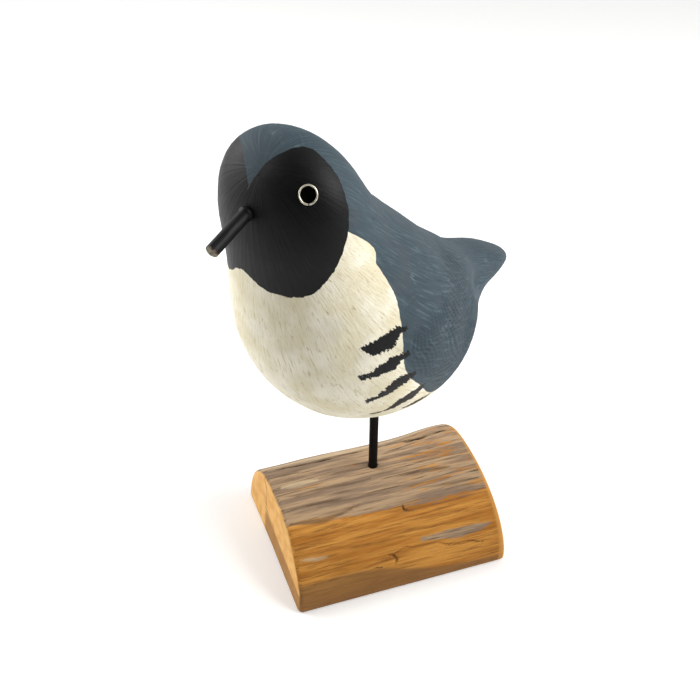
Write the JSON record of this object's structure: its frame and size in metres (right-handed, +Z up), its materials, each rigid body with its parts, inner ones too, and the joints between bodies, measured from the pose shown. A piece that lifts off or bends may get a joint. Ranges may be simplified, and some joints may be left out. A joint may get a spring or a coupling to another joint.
{
  "type": "carved wooden songbird",
  "caption": "Carved and painted wooden songbird on a slim black rod, standing on a short length of split driftwood.",
  "frame": {"origin": "centre of the rod on the plane of the flat underside", "axes": "+Z up, the bird faces -Y, its left side is towards +X; the driftwood's length is turned 59.8 degrees from +X"},
  "size_m": [0.0865, 0.1204, 0.1684],
  "materials": {
    "painted_carving": "matt brushed paint over carved wood: slate back and wings, cream breast, black face and flank bars",
    "beak_stick": "black paint, worn to grey-tan wood at the cut end",
    "eye_metal": "bright thin metal strip rolled into a ring",
    "black_rod": "satin black",
    "driftwood": "bare honey-brown wood, weathered grey along the top, light sawn ends"
  },
  "bodies": {
    "root": {"bird_body": "painted_carving", "beak": "beak_stick", "eye_ring_left": "eye_metal", "eye_ring_right": "eye_metal", "rod": "black_rod", "driftwood_base": "driftwood"}
  },
  "joints": []
}
